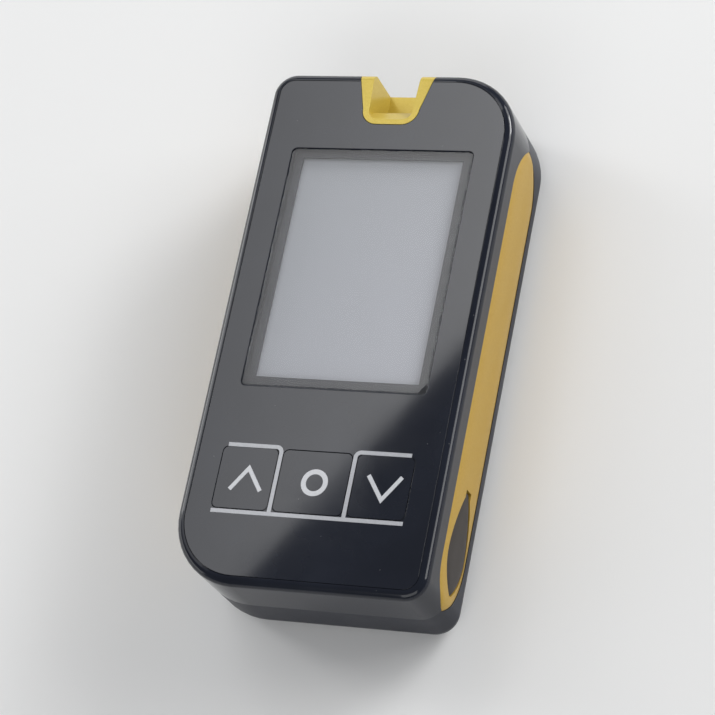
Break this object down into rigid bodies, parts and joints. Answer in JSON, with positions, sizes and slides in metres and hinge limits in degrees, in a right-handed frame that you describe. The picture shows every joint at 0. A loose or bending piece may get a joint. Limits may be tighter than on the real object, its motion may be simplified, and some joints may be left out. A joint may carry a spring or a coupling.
{
  "type": "blood glucose meter",
  "caption": "Slim pocket blood glucose meter with a strip port notch, display window, sprung keys, side trims, a hinged port cover and a sliding battery door.",
  "frame": {"origin": "centre of the flat back face that the meter lies on", "axes": "+Z out of the display face, +Y towards the strip port end, +X towards the side with the port cover"},
  "size_m": [0.04, 0.0826, 0.018],
  "materials": {
    "cover_black": "semi-gloss moulded black ABS",
    "face_gloss": "high gloss back-printed face panel, blue-black",
    "window_clear": "clear moulded window with a hard coat",
    "frame_black": "matte black moulded frame",
    "display_grey": "light grey display, switched off",
    "guide_white": "milky moulded light guide",
    "elastomer": "layered conductive silicone",
    "board_green": "solder mask over glass fibre board",
    "chip_black": "moulded chip packages",
    "dome_steel": "pressed spring steel",
    "buzzer_black": "matte moulded buzzer case",
    "port_gold": "pale metallic gold paint on moulded plastic",
    "trim_gold": "satin metallic gold paint on moulded plastic",
    "socket_ivory": "glass filled connector plastic",
    "contact_gold": "gold plated spring contacts",
    "socket_steel": "folded tin plated steel shell",
    "rear_black": "fine textured black ABS",
    "cell_steel": "nickel plated steel cans",
    "contact_nickel": "nickel plated spring strip",
    "screw_steel": "black zinc plated screws",
    "door_black": "fine textured black ABS with a moulded grip",
    "key_gloss": "high gloss key caps, blue-black",
    "cover_rubber": "soft brown-black rubber"
  },
  "bodies": {
    "housing": {"front_cover": "cover_black", "face_panel": "face_gloss", "display_window": "window_clear", "display_frame": "frame_black", "display_glass": "display_grey", "light_guide": "guide_white", "elastomer_strip": "elastomer", "main_board": "board_green", "board_chips": "chip_black", "up_dome": "dome_steel", "main_dome": "dome_steel", "down_dome": "dome_steel", "buzzer": "buzzer_black", "strip_port": "port_gold", "strip_socket": "socket_ivory", "strip_contacts": "contact_gold", "data_socket": "socket_steel", "left_trim": "trim_gold", "right_trim": "trim_gold", "rear_cover": "rear_black", "coin_cells": "cell_steel", "cell_contacts": "contact_nickel", "cell_clips": "contact_nickel", "case_screws": "screw_steel"},
    "door": {"battery_door": "door_black"},
    "up_button": {"up_key": "key_gloss"},
    "main_button": {"main_key": "key_gloss"},
    "down_button": {"down_key": "key_gloss"},
    "cover": {"port_cover": "cover_rubber"}
  },
  "joints": [
    {"name": "up_key_press", "type": "slide", "parent": "housing", "child": "up_button", "axis": [0, 0, -1], "range_m": [0, 0.0005], "stiffness_N_per_m": 3000, "deforming": ["up_dome"]},
    {"name": "main_key_press", "type": "slide", "parent": "housing", "child": "main_button", "axis": [0, 0, -1], "range_m": [0, 0.0005], "stiffness_N_per_m": 3000, "deforming": ["main_dome"]},
    {"name": "down_key_press", "type": "slide", "parent": "housing", "child": "down_button", "axis": [0, 0, -1], "range_m": [0, 0.0005], "stiffness_N_per_m": 3000, "deforming": ["down_dome"]},
    {"name": "battery_door_slide", "type": "slide", "parent": "housing", "child": "door", "axis": [0, -1, 0], "range_m": [0, 0.055]},
    {"name": "port_cover_hinge", "type": "hinge", "parent": "housing", "child": "cover", "pos_m": [0.01955, -0.02216, 0.0086], "axis": [0, 0, 1], "range_deg": [0, 88]}
  ]
}
